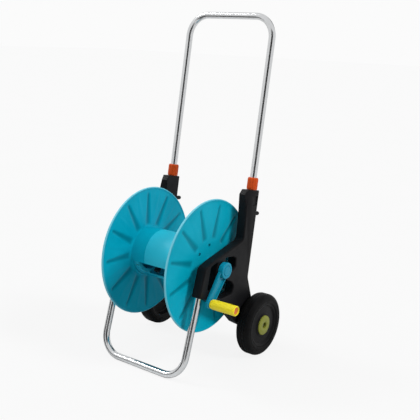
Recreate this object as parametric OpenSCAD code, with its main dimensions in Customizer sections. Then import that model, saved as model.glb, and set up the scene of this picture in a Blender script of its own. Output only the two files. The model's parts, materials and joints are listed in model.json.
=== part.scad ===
// Garden hose reel cart: a hose drum between two side frames, on two wheels and a
// bent tube leg, with a tube handle that slides down into the frame posts.
// +X points to the crank side, +Y to the wheels, +Z up. Millimetres.

/* [Drum] */
// Outer diameter of the drum's two flanges
flange_d = 350; // [320:2:360]
// Width over the flanges' outer rims
drum_width = 214; // [190:2:214]
// Thickness of a flange's rim bead
rim_t = 6; // [5:0.5:8]
// Diameter of the winding core
core_d = 132; // [110:2:140]
// Height of the drum's axis above the ground
drum_height = 268; // [262:1:280]
// Distance of the drum's axis in front of the wheel axle
drum_reach = 149; // [145:1:152]
// Number of pressed channels in each flange
channels = 12; // [8:1:16]

/* [Wheels] */
// Wheel diameter
wheel_d = 170; // [150:2:180]
// Wheel width
wheel_width = 42; // [34:1:43]
// Distance between the wheels' outer faces
track = 389; // [387:1:400]
// Axle diameter
axle_d = 10; // [8:0.5:12]

/* [Tubes] */
// Outer diameter of the handle and leg tubes
tube_d = 18; // [16:0.5:19]
// Tube wall thickness
tube_wall = 1.2; // [1:0.1:2]
// Distance between a bent tube's two legs, centre to centre
tube_spacing = 270; // [268:1:272]
// Centreline radius of the tube bends
bend_r = 57; // [45:1:65]
// Height of the handle's top when it is pulled out
handle_height = 909; // [850:1:930]
// How far the handle leans back, in degrees
handle_lean = 8.4; // [8:0.1:9]
// How far the leg leans, in degrees
leg_lean = 15.7; // [15:0.1:16.5]
// Distance of the leg's ground bar in front of the wheel axle
leg_reach = 285.5; // [282:0.5:288]
// How far the handle slides down from its pulled-out place
handle_travel = 255; // [200:5:260]

/* [Side frames] */
// Distance from the tubes' centre plane to a side frame's inner face
frame_inset = 12.5; // [12:0.5:14]
// Distance from the tubes' centre plane to a side frame's outer face
frame_outset = 14; // [13:0.5:15]
// Height of the posts' top faces
post_height = 454; // [450:1:460]

/* [Crank] */
// Distance from the drum's axis to the grip's axis
crank_length = 93; // [80:1:95]
// Crank angle at rest, from straight down towards the leg, in degrees
crank_angle = 38; // [0:0.5:60]
// Length of the grip
grip_length = 75; // [65:1:90]
// Diameter of the grip
grip_d = 26; // [22:1:30]

/* [Hidden] */
$fn = 96;
eps = 1;

// Colours
frame_black = [0.10, 0.10, 0.11];
drum_teal = [0.00, 0.60, 0.70];
chrome_grey = [0.80, 0.81, 0.83];
lock_orange = [0.85, 0.30, 0.08];
grip_yellow = [0.85, 0.80, 0.15];
cap_olive = [0.60, 0.62, 0.20];
steel_grey = [0.62, 0.63, 0.65];
rubber_black = [0.06, 0.06, 0.06];

// Radii and places worked out from the driving dimensions
tube_r = tube_d / 2;
tube_x = tube_spacing / 2;
wheel_r = wheel_d / 2;
wheel_out = track / 2;
wheel_in = wheel_out - wheel_width;
flange_r = flange_d / 2;
core_r = core_d / 2;
rim_x = drum_width / 2;
frame_in = tube_x - frame_inset;
frame_out = tube_x + frame_outset;
drum_y = -drum_reach;
axle_r = axle_d / 2;
handle_foot_y = -77.3;
bar_z = (handle_height - tube_r) / cos(handle_lean);
fit_gap = 0.05;
post_bore_r = tube_r + 0.5;

// The flange's sheet, its hub and the sleeve that the core fits into
sheet_t = 3;
sheet_x = rim_x - rim_t / 2 - sheet_t / 2;
channel_depth = 1.4;
channel_from = core_r + 8;
channel_to = flange_r - 17;
channel_half = [9, 3.5];
sleeve_t = 3;
seam_x = 57;
hub_r = 22;
hub_in = 70;
hub_out = rim_x + 5;
well_ring_r = core_r - 10;
well_pairs = 3;
well_turn = 45;
well_r = 4.6;
well_wall = 1.4;
well_depth = 6.5;
well_floor = 1.5;
screw_r = 1.85;
screw_length = 11;
screw_head_r = 3.6;
screw_head_t = 1.8;

// Shafts on the drum's axis
shaft_r = 8;
square = 11;
bush_t = 3;
bush_flange_t = 1.5;
crank_in = frame_out + 1.5;
head_r = 21;
head_t = 14.5;
crank_out = crank_in + head_t;
arm_t = 10;
arm_out = crank_in + arm_t;
pin_r = 4;
grip_in = arm_out + 1.5;
grip_out = grip_in + grip_length;

// The box's middle, which the origin stands under
mid_x = (grip_out - wheel_out) / 2;
front_y = drum_y - flange_r;
mid_y = (front_y + wheel_r) / 2;

// Unit vector
function unit(v) = v / norm(v);

// Points of an arc that rounds the corner b between a and c
arc_steps = 5;
function corner(a, b, c) =
    let (p = [b.x, b.y], u = unit([a.x, a.y] - p), v = unit([c.x, c.y] - p))
    let (half = acos(u * v) / 2, m = p + unit(u + v) * b.z / sin(half))
    let (d0 = p + u * b.z / tan(half) - m, d1 = p + v * b.z / tan(half) - m)
    [for (k = [0 : arc_steps]) m + b.z * unit(d0 * (1 - k / arc_steps) + d1 * k / arc_steps)];

// Outline from points [y, z, rounding radius]
function rounded(pts) =
    let (n = len(pts))
    [for (i = [0 : n - 1])
        each pts[i].z == 0
            ? [[pts[i].x, pts[i].y]]
            : corner(pts[(i + n - 1) % n], pts[i], pts[(i + 1) % n])];

// Moves the object so that the origin is under the middle of its box
module placed() {
    translate([-mid_x, -mid_y, 0]) children();
}

// Extrudes a (y, z) outline from x0 to x1
module slab_x(x0, x1) {
    translate([x0, 0, 0]) rotate([90, 0, 90]) linear_extrude(x1 - x0) children();
}

// Round bar along X
module rod_x(x0, x1, r) {
    translate([x0, 0, 0]) rotate([0, 90, 0]) cylinder(h = x1 - x0, r = r);
}

// Round tube along X
module ring_x(x0, x1, r_out, r_in) {
    difference() {
        rod_x(x0, x1, r_out);
        rod_x(x0 - eps, x1 + eps, r_in);
    }
}

// Turns a (radius, x) profile about the X axis
module turned_x() {
    rotate([0, 90, 0]) rotate_extrude() children();
}

// Square bar along X
module square_x(x0, x1, side) {
    translate([x0, -side / 2, -side / 2]) cube([x1 - x0, side, side]);
}

module at_drum() {
    translate([0, drum_y, drum_height]) children();
}

module at_axle() {
    translate([0, 0, wheel_r]) children();
}

// Frame in which the handle's tubes are upright; z runs along them from the ground
module handle_line() {
    translate([0, handle_foot_y, 0]) rotate([-handle_lean, 0, 0]) children();
}

// Frame in which the leg's tubes are upright; z runs up from the ground bar's centre
module leg_line() {
    translate([0, -leg_reach, tube_r]) rotate([-leg_lean, 0, 0]) children();
}

// Left side is the right side mirrored
module side(left) {
    mirror([left ? 1 : 0, 0, 0]) children();
}

// Solid U of round bar: legs from z = from up to a cross bar at z = bar
module u_bar(from, bar, r) {
    for (s = [0, 1]) mirror([s, 0, 0]) {
        translate([tube_x, 0, from]) cylinder(h = bar - bend_r - from, r = r);
        translate([tube_x - bend_r, 0, bar - bend_r]) rotate([90, 0, 0])
            rotate_extrude(angle = 90) translate([bend_r, 0]) circle(r = r);
    }
    translate([0, 0, bar]) rod_x(bend_r - tube_x, tube_x - bend_r, r);
}

// Bent tube
module u_tube(from, bar) {
    difference() {
        u_bar(from, bar, tube_r);
        u_bar(from - eps, bar, tube_r - tube_wall);
    }
}

// ---- side frames ----

// Height along the handle's tubes of a point at height z
function along_handle(z) = z / cos(handle_lean);
function tube_y(z) = handle_foot_y + z * tan(handle_lean);
// Height of the posts' top faces, which are square to the handle's tubes
function top_z(y) = post_height - (y - tube_y(post_height)) * tan(handle_lean);
post_back = 17.5;
post_front = -51;
post_chamfer = [12, 7];
boss_r = 22;
leg_top = 266;
socket_end = 190;
handle_end = 378;
bore_end = handle_end - handle_travel - 5;
collet_seat = 12;

frame_outline = rounded([
    [tube_y(post_height) + post_back, top_z(tube_y(post_height) + post_back), 2],
    [post_front + post_chamfer.x, top_z(post_front + post_chamfer.x), 2],
    [post_front, post_height - post_chamfer.y, 3],
    [post_front - 1, 380, 40],
    [post_front - 7, 327, 14],
    [-187, 296, 30],
    [-219, 286, 12],
    [-240.5, 213, 2],
    [-216, 205, 3],
    [-110, 139, 30],
    [-72, 101, 20],
    [-14, 68, 0],
    [20, 94, 0],
    [-26, 219, 20]
]);

// Openings round the drum's bearing: behind it, in front of it and under it
rear_opening = rounded([
    [-137, 296, 3], [-101, 292, 5], [-88, 286, 5], [-88, 262, 6], [-106, 253, 5], [-126, 266, 8]
]);
front_opening = rounded([
    [-164, 292, 4], [-196, 284, 6], [-208, 226, 6], [-196, 222, 5], [-173, 258, 8], [-171, 276, 6]
]);
lower_opening = rounded([
    [-143, 243, 5], [-122, 232, 6], [-104, 224, 6], [-92, 210, 7], [-100, 190, 8],
    [-150, 190, 8], [-176, 206, 7], [-156, 238, 5]
]);

// Moulded side frame: post, arm, leg socket, drum bearing and axle boss
module side_frame() {
    difference() {
        union() {
            slab_x(frame_in, frame_out) polygon(frame_outline);
            at_axle() rod_x(frame_in, frame_out + 0.5, boss_r);
        }
        slab_x(frame_in - eps, frame_out + eps) polygon(rear_opening);
        slab_x(frame_in - eps, frame_out + eps) polygon(front_opening);
        slab_x(frame_in - eps, frame_out + eps) polygon(lower_opening);
        at_drum() rod_x(frame_in - eps, frame_out + eps, shaft_r + bush_t);
        at_axle() rod_x(frame_in - eps, frame_out + eps + 1, axle_r + fit_gap);
        handle_line() translate([tube_x, 0, along_handle(bore_end)])
            cylinder(h = along_handle(handle_end - bore_end) + 0.2, r = post_bore_r);
        handle_line() translate([tube_x, 0, along_handle(handle_end)])
            cylinder(h = 100, r = tube_r + 0.08);
        handle_line() translate([tube_x, 0, along_handle(post_height) - collet_seat])
            cylinder(h = 60, r = collet_r);
        leg_line() translate([tube_x, 0, socket_end])
            cylinder(h = leg_top - socket_end, r = tube_r + fit_gap);
        handle_line() translate([tube_x, 0, along_handle(peg_height)])
            rotate([-90, 0, 0]) cylinder(h = 60, r = peg_shank_r + fit_gap);
        leg_line() translate([0, 0, leg_screw_z])
            rod_x(frame_in - eps, leg_screw_end + 0.5, leg_screw_r + fit_gap);
    }
}

module side_frame_left() {
    color(frame_black) placed() side(true) difference() {
        side_frame();
        at_drum() for (s = [-1, 1]) translate([0, 0, s * inlet_screw_z])
            rod_x(inlet_face - inlet_screw_depth - 0.5, inlet_face + eps, inlet_screw_r + fit_gap);
    }
}

module side_frame_right() {
    color(frame_black) placed() side(false) side_frame();
}

// ---- leg ----
leg_screw_z = 225;
leg_screw_r = 2;
leg_screw_head_r = 4;
leg_screw_end = tube_x + 4;

module leg_tube() {
    color(chrome_grey) placed() leg_line() difference() {
        mirror([0, 0, 1]) u_tube(-leg_top + 1, 0);
        for (s = [false, true]) side(s) translate([0, 0, leg_screw_z])
            rod_x(frame_in, tube_x, leg_screw_r + fit_gap);
    }
}

// Screws from the inner side that hold the leg in its sockets
module leg_screws() {
    color(steel_grey) placed() leg_line() for (s = [false, true]) side(s)
        translate([0, 0, leg_screw_z]) {
            rod_x(frame_in - 0.2, leg_screw_end - 4.5, leg_screw_r);
            rod_x(frame_in - 2.2, frame_in - 0.2, leg_screw_head_r);
        }
}

// ---- wheels ----
axle_end = wheel_out - 7;

module axle() {
    color(steel_grey) placed() at_axle() rod_x(-axle_end, axle_end, axle_r);
}

module axle_washers() {
    washer_in = frame_out + 0.7;
    color(steel_grey) placed() at_axle() for (s = [false, true]) side(s)
        ring_x(washer_in, wheel_in - 0.4, axle_r + 5, axle_r + fit_gap);
}

tyre_in_r = 60;
shoulder_r = 13;
tread_x = [wheel_in, wheel_out];
tyre_outline = rounded([
    [tyre_in_r, tread_x[0] + 3, 0],
    [tyre_in_r + 6, tread_x[0], 3],
    [wheel_r, tread_x[0], shoulder_r],
    [wheel_r, tread_x[1], shoulder_r],
    [tyre_in_r + 6, tread_x[1], 3],
    [tyre_in_r, tread_x[1] - 3, 0]
]);

// Soft tyre moulded round the rim
module tyre() {
    turned_x() polygon(tyre_outline);
}

hub_cap_r = 27;
cap_seat_x = wheel_out - 6;
dish_x = wheel_out - 5;
wheel_hub_r = 13;

rim_outline = rounded([
    [axle_r + fit_gap * 2, wheel_in, 0],
    [wheel_hub_r, wheel_in, 1],
    [wheel_hub_r + 1, dish_x - 16, 2],
    [tyre_in_r - 5, dish_x - 16, 3],
    [tyre_in_r - 4, wheel_in + 3, 0],
    [tyre_in_r, wheel_in + 3, 0],
    [tyre_in_r, wheel_out - 3, 0],
    [tyre_in_r - 3, wheel_out - 3, 1],
    [tyre_in_r - 6, dish_x - 3, 2],
    [hub_cap_r + 3, dish_x, 2],
    [hub_cap_r + 0.3, dish_x, 0],
    [hub_cap_r + 0.3, cap_seat_x - 3, 0],
    [axle_r + 8, cap_seat_x - 3, 0],
    [axle_r + 8, cap_seat_x - 8, 0],
    [axle_r + fit_gap * 2, cap_seat_x - 8, 0]
]);

// Moulded wheel centre with its hub
module rim() {
    turned_x() polygon(rim_outline);
}

// Sprung nut pushed onto the axle's end, in the hub's recess
module push_nut() {
    ring_x(cap_seat_x - 7.5, cap_seat_x - 6, axle_r + 6, axle_r + fit_gap);
}

// Cap over the hub, with a hole round the axle's end
module hub_cap() {
    turned_x() polygon(rounded([
        [axle_r + 0.4, cap_seat_x - 2.5, 0],
        [hub_cap_r, cap_seat_x - 2.5, 0],
        [hub_cap_r, wheel_out - 2, 1.5],
        [hub_cap_r - 8, wheel_out, 3],
        [axle_r + 0.4, wheel_out, 0]
    ]));
}

module rim_left() {
    color(rubber_black) placed() at_axle() side(true) rim();
}

module rim_right() {
    color(rubber_black) placed() at_axle() side(false) rim();
}

module tyre_left() {
    color(rubber_black) placed() at_axle() side(true) tyre();
}

module tyre_right() {
    color(rubber_black) placed() at_axle() side(false) tyre();
}

module push_nut_left() {
    color(steel_grey) placed() at_axle() side(true) push_nut();
}

module push_nut_right() {
    color(steel_grey) placed() at_axle() side(false) push_nut();
}

module hub_cap_left() {
    color(cap_olive) placed() at_axle() side(true) hub_cap();
}

module hub_cap_right() {
    color(cap_olive) placed() at_axle() side(false) hub_cap();
}

// ---- handle, its twist collars and the pegs on the posts ----
collet_r = 11.4;
collet_h = 38;
collar_r = 14.2;
collar_h = 32;
collar_z = along_handle(post_height) + 0.5;
collar_lip = 5;
plug_h = 14;
peg_height = 391;
peg_shank_r = 3;
peg_r = 5.5;
peg_from = post_back + 0.8;
peg_reach = 42.5;

// Split sleeve that the collar squeezes onto the tube
module collet() {
    handle_line() translate([tube_x, 0, along_handle(post_height) - collet_seat + 0.2])
        difference() {
            cylinder(h = collet_h, r = collet_r - 0.2);
            translate([0, 0, -eps]) cylinder(h = collet_h + 2 * eps, r = tube_r + 0.08);
            translate([-1, 0, collet_seat + 4]) cube([2, 20, collet_h]);
        }
}

// Twist collar that locks the handle at its height
module collar() {
    handle_line() translate([tube_x, 0, collar_z]) difference() {
        cylinder(h = collar_h, r = collar_r);
        translate([0, 0, -eps]) cylinder(h = collar_h - collar_lip + eps, r = collet_r + 0.1);
        cylinder(h = collar_h + eps, r = tube_r + 0.3);
    }
}

module collet_left() {
    color(frame_black) placed() side(true) collet();
}

module collet_right() {
    color(frame_black) placed() side(false) collet();
}

module collar_left() {
    color(lock_orange) placed() side(true) collar();
}

module collar_right() {
    color(lock_orange) placed() side(false) collar();
}

module handle_tube() {
    color(chrome_grey) placed() handle_line() u_tube(along_handle(handle_end), bar_z);
}

// Plugs in the tube's ends that guide it in the posts
module handle_plugs() {
    color(frame_black) placed() handle_line() for (s = [-1, 1])
        translate([s * tube_x, 0, along_handle(handle_end) - 4]) {
            cylinder(h = 4, r = post_bore_r - 0.1);
            cylinder(h = plug_h, r = tube_r - tube_wall - fit_gap);
        }
}

// Round pegs behind the posts on which hose fittings are parked
module accessory_pegs() {
    color(frame_black) placed() handle_line() for (s = [-1, 1])
        translate([s * tube_x, 0, along_handle(peg_height)]) rotate([-90, 0, 0]) {
            translate([0, 0, post_back - 6]) cylinder(h = 9, r = peg_shank_r);
            translate([0, 0, peg_from]) cylinder(h = peg_reach - peg_from, r = peg_r);
            translate([0, 0, peg_reach]) intersection() {
                sphere(r = peg_r);
                cylinder(h = peg_r, r = peg_r + eps);
            }
        }
}

// ---- drum ----

// Wedges that the pressed channels follow; they narrow towards the rim
module channel_wedges(x0, x1, turn) {
    for (k = [0 : channels - 1]) rotate([k * 360 / channels + turn, 0, 0])
        slab_x(x0, x1) polygon([
            [-channel_half[0], channel_from], [channel_half[0], channel_from],
            [channel_half[1], channel_to], [-channel_half[1], channel_to]
        ]);
}

// Sheet, rim bead, hub and sleeve of a flange, before its channels
module flange_disc() {
    turned_x() polygon([
        [shaft_r + 4, sheet_x], [core_r - sleeve_t, sheet_x], [core_r - sleeve_t, seam_x],
        [core_r, seam_x], [core_r, sheet_x - 1], [core_r + 2, sheet_x],
        [flange_r - 5, sheet_x], [flange_r - 5, rim_x - rim_t], [flange_r - 1.5, rim_x - rim_t],
        [flange_r, rim_x - rim_t + 1.5], [flange_r, rim_x - 1.5], [flange_r - 1.5, rim_x],
        [flange_r - 4, rim_x], [flange_r - 8, sheet_x + sheet_t],
        [shaft_r + 4, sheet_x + sheet_t]
    ]);
}

// Window in the winding core, where the hose goes in to its spigot
window_from = 192;
window_to = 262;
window_half = 96;
module window(x0) {
    wide = core_r * 2;
    slab_x(x0, window_half) polygon([
        [0, 0],
        wide * [cos(window_from), sin(window_from)],
        wide * [cos((window_from + window_to) / 2), sin((window_from + window_to) / 2)],
        wide * [cos(window_to), sin(window_to)]
    ]);
}

// Places of the screw wells round the drum's axis, two by two
module at_wells() {
    $fn = 36;
    for (k = [0 : well_pairs - 1], turn = [0, well_turn])
        rotate([k * 360 / well_pairs + turn, 0, 0]) translate([0, 0, well_ring_r]) children();
}

// Sheet moved by dx where the channels run
module channel_sheet(turn, dx) {
    intersection() {
        ring_x(sheet_x + dx, sheet_x + sheet_t + dx, flange_r - 10, core_r + 4);
        channel_wedges(sheet_x - 4, sheet_x + sheet_t + 4, turn);
    }
}

// Flange of the drum, with channels pressed from outside and, between them, from inside
module flange() {
    well_end = sheet_x + sheet_t - well_depth - well_floor;
    difference() {
        union() {
            difference() {
                flange_disc();
                channel_wedges(sheet_x - eps, sheet_x + sheet_t + eps, 0);
                channel_wedges(sheet_x - eps, sheet_x + sheet_t + eps, 180 / channels);
                window(seam_x - eps);
            }
            channel_sheet(0, channel_depth);
            channel_sheet(180 / channels, -channel_depth);
            rod_x(hub_in, hub_out, hub_r);
            at_wells() rod_x(well_end, sheet_x + 1, well_r + well_wall);
        }
        rod_x(hub_in - eps, hub_out + eps, shaft_r + fit_gap);
        square_x(hub_in - eps, hub_out - 10, square + 2 * fit_gap);
        at_wells() rod_x(well_end + well_floor, sheet_x + sheet_t + eps, well_r);
        at_wells() rod_x(well_end - eps, sheet_x, screw_r + fit_gap);
    }
}

module flange_left() {
    color(drum_teal) placed() at_drum() side(true) flange();
}

module flange_right() {
    color(drum_teal) placed() at_drum() side(false) flange();
}

// Core that the hose is wound on, with a ring at each end for the flange's screws
core_wall = 6.5;
end_ring_r = core_r - 18;
end_ring_x = 86;

module drum_core() {
    color(drum_teal) placed() at_drum() difference() {
        turned_x() polygon([
            [end_ring_r, -sheet_x], [core_r - sleeve_t - 0.1, -sheet_x],
            [core_r - sleeve_t - 0.1, -seam_x], [core_r, -seam_x],
            [core_r, seam_x], [core_r - sleeve_t - 0.1, seam_x],
            [core_r - sleeve_t - 0.1, sheet_x], [end_ring_r, sheet_x],
            [end_ring_r, end_ring_x], [core_r - core_wall, end_ring_x],
            [core_r - core_wall, -end_ring_x], [end_ring_r, -end_ring_x]
        ]);
        window(-window_half);
        at_wells() rod_x(-sheet_x - eps, sheet_x + eps, screw_r + fit_gap);
        for (s = [0, 1]) mirror([s, 0, 0]) at_wells()
            rod_x(sheet_x + sheet_t - well_depth - well_floor - 0.1, sheet_x + eps, well_r + well_wall + 0.1);
    }
}

// Screws that hold a flange to the core
module drum_screws() {
    seat = sheet_x + sheet_t - well_depth;
    at_wells() {
        rod_x(seat - screw_length, seat, screw_r);
        rod_x(seat, seat + screw_head_t, screw_head_r);
    }
}

module drum_screws_left() {
    color(steel_grey) placed() at_drum() side(true) drum_screws();
}

module drum_screws_right() {
    color(steel_grey) placed() at_drum() side(false) drum_screws();
}

// ---- bearings of the drum ----

// Flanged bush in a side frame
module bush() {
    ring_x(frame_in, frame_out, shaft_r + bush_t, shaft_r + fit_gap);
    ring_x(frame_in - bush_flange_t, frame_in, shaft_r + bush_t + 4, shaft_r + fit_gap);
}

module bush_left() {
    color("white") placed() at_drum() side(true) bush();
}

module bush_right() {
    color("white") placed() at_drum() side(false) bush();
}

// ---- water way ----
spindle_in = 46;
spindle_out = frame_out + 27;
spindle_bore = 4.5;
inlet_face = frame_out;
inlet_r = 17;
inlet_out = frame_out + 36;
inlet_bore_r = 10;
inlet_plate_t = 3;
inlet_screw_z = 22;
inlet_screw_r = 1.65;
inlet_screw_depth = 10;
seal_r = 0.95;
seal_x = [inlet_face + 12, inlet_face + 19];
nipple_x = inlet_face + 29;
nipple_r = 8;
nipple_end = 58;
nipple_length = 16;
pipe_r = 6.5;
stub_r = 9;

// Hollow spindle that carries the drum on the left and the water into it
module water_spindle() {
    color(steel_grey) placed() at_drum() side(true) difference() {
        union() {
            square_x(hub_in, hub_out - 10, square);
            rod_x(spindle_in, hub_in, square / 2);
            rod_x(hub_out - 10, spindle_out, shaft_r);
        }
        rod_x(spindle_in - eps, spindle_out + eps, spindle_bore);
    }
}

// Fixed water inlet on the left side frame, with a nipple for a hose connector
module inlet_body() {
    color(frame_black) placed() at_drum() side(true) difference() {
        union() {
            rod_x(inlet_face, inlet_out, inlet_r);
            slab_x(inlet_face, inlet_face + inlet_plate_t) polygon(rounded([
                [-12, -28, 8], [12, -28, 8], [12, 28, 8], [-12, 28, 8]
            ]));
            translate([nipple_x, 0, 0]) rotate([90, 0, 0]) {
                cylinder(h = nipple_end - nipple_length + 2, r = pipe_r);
                cylinder(h = inlet_r + stub_r, r = stub_r);
                translate([0, 0, nipple_end - nipple_length]) cylinder(h = nipple_length, r = nipple_r);
            }
        }
        rod_x(inlet_face - eps, spindle_out + 2, inlet_bore_r);
        translate([nipple_x, 0, 0]) rotate([90, 0, 0]) cylinder(h = nipple_end + eps, r = 5);
        for (s = [-1, 1]) translate([0, 0, s * inlet_screw_z])
            rod_x(inlet_face - eps, inlet_face + inlet_plate_t + eps, inlet_screw_r + fit_gap);
    }
}

// Rubber rings that seal the spindle
module inlet_seals() {
    color(rubber_black) placed() at_drum() side(true) for (x = seal_x)
        translate([x, 0, 0]) turned_x() translate([(shaft_r + inlet_bore_r) / 2, 0]) circle(r = seal_r);
}

// Screws that hold the inlet to the side frame
module inlet_screws() {
    color(steel_grey) placed() at_drum() side(true) for (s = [-1, 1])
        translate([0, 0, s * inlet_screw_z]) {
            rod_x(inlet_face - inlet_screw_depth, inlet_face + inlet_plate_t, inlet_screw_r);
            rod_x(inlet_face + inlet_plate_t, inlet_face + inlet_plate_t + 1.8, 3.5);
        }
}

// Elbow inside the core that the reeled hose is pushed onto
outlet_angle = 227;
outlet_x = [30, 58];
outlet_reach = 52;
outlet_nipple = 12;
elbow_r = 11;
elbow_x = outlet_x[0] + 9;

module hose_outlet() {
    color(frame_black) placed() at_drum() side(true) difference() {
        union() {
            rod_x(outlet_x[0], outlet_x[1], elbow_r);
            translate([elbow_x, 0, 0]) rotate([outlet_angle - 90, 0, 0]) {
                cylinder(h = outlet_reach, r = pipe_r);
                cylinder(h = outlet_reach / 2, r = stub_r);
                translate([0, 0, outlet_reach - outlet_nipple]) cylinder(h = outlet_nipple, r = nipple_r);
            }
        }
        rod_x(spindle_in - 0.5, outlet_x[1] + eps, square / 2 + fit_gap);
        rod_x(elbow_x, spindle_in, spindle_bore);
        translate([elbow_x, 0, 0]) rotate([outlet_angle - 90, 0, 0])
            cylinder(h = outlet_reach + eps, r = spindle_bore);
    }
}

// ---- crank ----
crank_turn = 270 - crank_angle;
crank_screw_r = 2.45;
head_recess = 5;
cover_r = 12.9;

// Shaft between the right flange and the crank
module drive_shaft() {
    color(steel_grey) placed() at_drum() difference() {
        union() {
            square_x(hub_in, hub_out - 10, square);
            rod_x(hub_out - 10, crank_in - 0.5, shaft_r);
            rotate([crank_turn, 0, 0]) square_x(crank_in - 0.5, crank_in + 9, square);
        }
        rod_x(crank_in - 12, crank_in + 10, crank_screw_r + fit_gap);
    }
}

// Frame in which the crank arm runs along +Y from the drum's axis
module crank_line() {
    at_drum() rotate([crank_turn, 0, 0]) children();
}

arm_half = 12;
tip_r = 13;
arm_rim = 2.6;
arm_floor = 4;

// Crank arm: hub head, channelled arm and the eye that holds the grip's pin
module crank_arm() {
    color(drum_teal) placed() crank_line() difference() {
        union() {
            rod_x(crank_in, crank_out, head_r);
            slab_x(crank_in, arm_out) polygon([
                [0, -arm_half - 3], [crank_length, -arm_half + 1],
                [crank_length, arm_half - 1], [0, arm_half + 3]
            ]);
            translate([0, crank_length, 0]) rod_x(crank_in, arm_out, tip_r);
        }
        slab_x(crank_in + arm_floor, arm_out + eps) polygon(rounded([
            [head_r + 4, -arm_half + arm_rim, 2], [crank_length - 16, -arm_half + arm_rim + 0.6, 2],
            [crank_length - 16, arm_half - arm_rim - 0.6, 2], [head_r + 4, arm_half - arm_rim, 2]
        ]));
        square_x(crank_in - eps, crank_in + 9.2, square + 2 * fit_gap);
        rod_x(crank_in, crank_out + eps, crank_screw_r + 2 * fit_gap);
        rod_x(crank_out - head_recess, crank_out + eps, cover_r + 0.1);
        translate([0, crank_length, 0]) rod_x(crank_in - eps, arm_out + eps, pin_r + fit_gap);
    }
}

// Screw that holds the crank on the shaft
module crank_screw() {
    color(steel_grey) placed() at_drum() {
        rod_x(crank_in - 10, crank_out - head_recess, crank_screw_r);
        rod_x(crank_out - head_recess, crank_out - head_recess + 2.5, 6);
    }
}

// Snap-in cover over the crank screw
module crank_cap() {
    color(drum_teal) placed() at_drum() turned_x() polygon(rounded([
        [0, crank_out - 2.3, 0], [9, crank_out - 2.3, 0], [9, crank_out - head_recess, 0],
        [cover_r, crank_out - head_recess, 0], [cover_r, crank_out + 0.6, 0.8], [0, crank_out + 1.4, 0]
    ]));
}

grip_bore = pin_r + 0.08;
pin_head_x = grip_out - 11;
recess_r = 8.5;

// Pin that the grip spins on
module grip_pin() {
    color(steel_grey) placed() crank_line() translate([0, crank_length, 0]) {
        rod_x(crank_in + 1, pin_head_x, pin_r);
        rod_x(pin_head_x, pin_head_x + 2.5, pin_r + 2.5);
    }
}

// Grip turned by hand
module crank_grip() {
    color(grip_yellow) placed() crank_line() translate([0, crank_length, 0])
        turned_x() polygon(rounded([
            [grip_bore, grip_in, 0], [grip_d / 2 - 1, grip_in, 1], [grip_d / 2, grip_in + 12, 20],
            [grip_d / 2, grip_out, 2.5], [recess_r, grip_out, 1], [recess_r, pin_head_x - 0.3, 0],
            [grip_bore, pin_head_x - 0.3, 0]
        ]));
}

// Plug in the grip's open end
module grip_cap() {
    color(lock_orange) placed() crank_line() translate([0, crank_length, 0])
        rod_x(pin_head_x + 3.5, grip_out - 3, recess_r - 0.02);
}

side_frame_left();
side_frame_right();
leg_tube();
leg_screws();
axle();
axle_washers();
accessory_pegs();
bush_left();
bush_right();
collet_left();
collet_right();
inlet_body();
inlet_seals();
inlet_screws();
collar_left();
collar_right();
handle_tube();
handle_plugs();
flange_left();
flange_right();
drum_core();
drum_screws_left();
drum_screws_right();
water_spindle();
hose_outlet();
drive_shaft();
crank_arm();
crank_screw();
crank_cap();
grip_pin();
crank_grip();
grip_cap();
rim_left();
rim_right();
tyre_left();
tyre_right();
push_nut_left();
push_nut_right();
hub_cap_left();
hub_cap_right();
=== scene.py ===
"""Garden hose reel cart: a hose drum between two moulded frames on wheels and a tube leg."""
import json
import math

import bmesh
import bpy
from mathutils import Matrix, Vector, geometry


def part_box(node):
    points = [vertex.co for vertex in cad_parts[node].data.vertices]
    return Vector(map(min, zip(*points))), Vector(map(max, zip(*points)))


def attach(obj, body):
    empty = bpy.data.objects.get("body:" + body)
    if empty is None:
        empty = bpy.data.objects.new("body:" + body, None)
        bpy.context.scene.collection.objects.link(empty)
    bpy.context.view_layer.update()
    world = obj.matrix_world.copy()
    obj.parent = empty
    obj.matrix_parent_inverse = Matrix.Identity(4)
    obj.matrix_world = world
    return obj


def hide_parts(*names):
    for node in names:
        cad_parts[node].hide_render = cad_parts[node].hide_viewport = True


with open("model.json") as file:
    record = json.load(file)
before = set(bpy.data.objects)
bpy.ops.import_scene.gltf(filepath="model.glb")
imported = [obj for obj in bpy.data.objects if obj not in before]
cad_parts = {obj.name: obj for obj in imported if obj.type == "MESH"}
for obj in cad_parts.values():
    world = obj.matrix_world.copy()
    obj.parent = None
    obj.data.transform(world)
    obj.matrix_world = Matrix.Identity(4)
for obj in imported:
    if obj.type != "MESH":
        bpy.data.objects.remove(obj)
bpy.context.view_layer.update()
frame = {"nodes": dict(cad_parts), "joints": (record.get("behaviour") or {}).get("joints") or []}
scene = bpy.context.scene
scene.view_settings.view_transform = "Standard"

MM = 0.001

# ---------------------------------------------------------------- places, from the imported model


def span(node):
    lo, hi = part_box(node)
    return lo, hi, (lo + hi) / 2


drum_mid = (span("flange_left")[0].x + span("flange_right")[1].x) / 2
axle_mid = span("axle")[2]
# Millimetres from the drum's middle plane, the wheel axle and the ground
ORIGIN = Vector((drum_mid, axle_mid.y, 0))


def here(v):
    """A point of the row frame in the local millimetres."""
    return (Vector(v) - ORIGIN) / MM


def place(v):
    return ORIGIN + Vector(v) * MM


drum_axis = here(span("flange_right")[2])
flange_r = (span("flange_right")[1].z - span("flange_right")[0].z) / 2 / MM
sheet_x = here(span("drum_core")[1]).x
axle_z = here(axle_mid).z
frame_lo, frame_hi = here(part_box("side_frame_right")[0]), here(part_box("side_frame_right")[1])
joints = {j["name"]: j for j in frame["joints"]}
handle_dir = Vector(joints["handle_slide"]["axis"]).normalized()
handle_lean = math.atan2(handle_dir.y, handle_dir.z)
collar_mid = here(joints["collar_right_twist"]["pos_m"])
grip_mid = here(span("crank_grip")[2])

# ---------------------------------------------------------------- materials


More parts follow.
